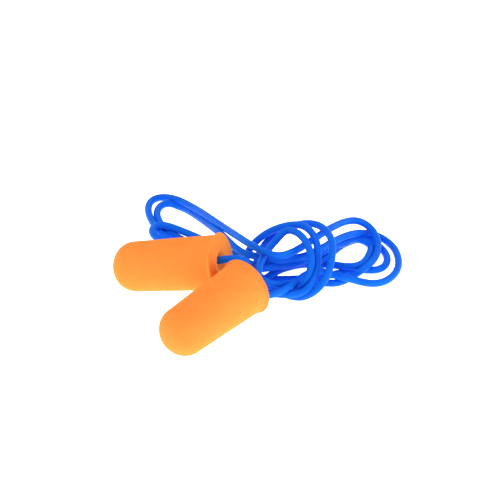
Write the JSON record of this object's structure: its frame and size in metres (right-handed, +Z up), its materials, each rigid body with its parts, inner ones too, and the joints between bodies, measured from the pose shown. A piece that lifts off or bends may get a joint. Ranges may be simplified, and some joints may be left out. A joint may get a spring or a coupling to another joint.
{
  "type": "corded foam ear plugs",
  "caption": "Tapered soft foam ear plugs joined by a thin vinyl cord, which is folded into a loose hank and wrapped round its middle.",
  "frame": {"origin": "on the surface the plugs lie on, at the middle in X and Y of the box round the two plugs", "axes": "+Z up, +Y away from the viewer across the two plugs, +X from the plugs' tips towards their cord ends"},
  "size_m": [0.0628, 0.076, 0.0161],
  "materials": {
    "foam": "soft matt slow-recovery polyurethane foam with a fine closed skin",
    "cord": "smooth bright blue soft vinyl, satin gloss",
    "adhesive": "clear cured adhesive, tinted by the foam behind it"
  },
  "bodies": {
    "root": {"front_plug": "foam", "rear_plug": "foam", "front_adhesive": "adhesive", "rear_adhesive": "adhesive", "front_cord_end": "cord", "rear_cord_end": "cord", "front_cord_tail": "cord", "rear_cord_tail": "cord", "cord_hank": "cord"}
  },
  "joints": []
}
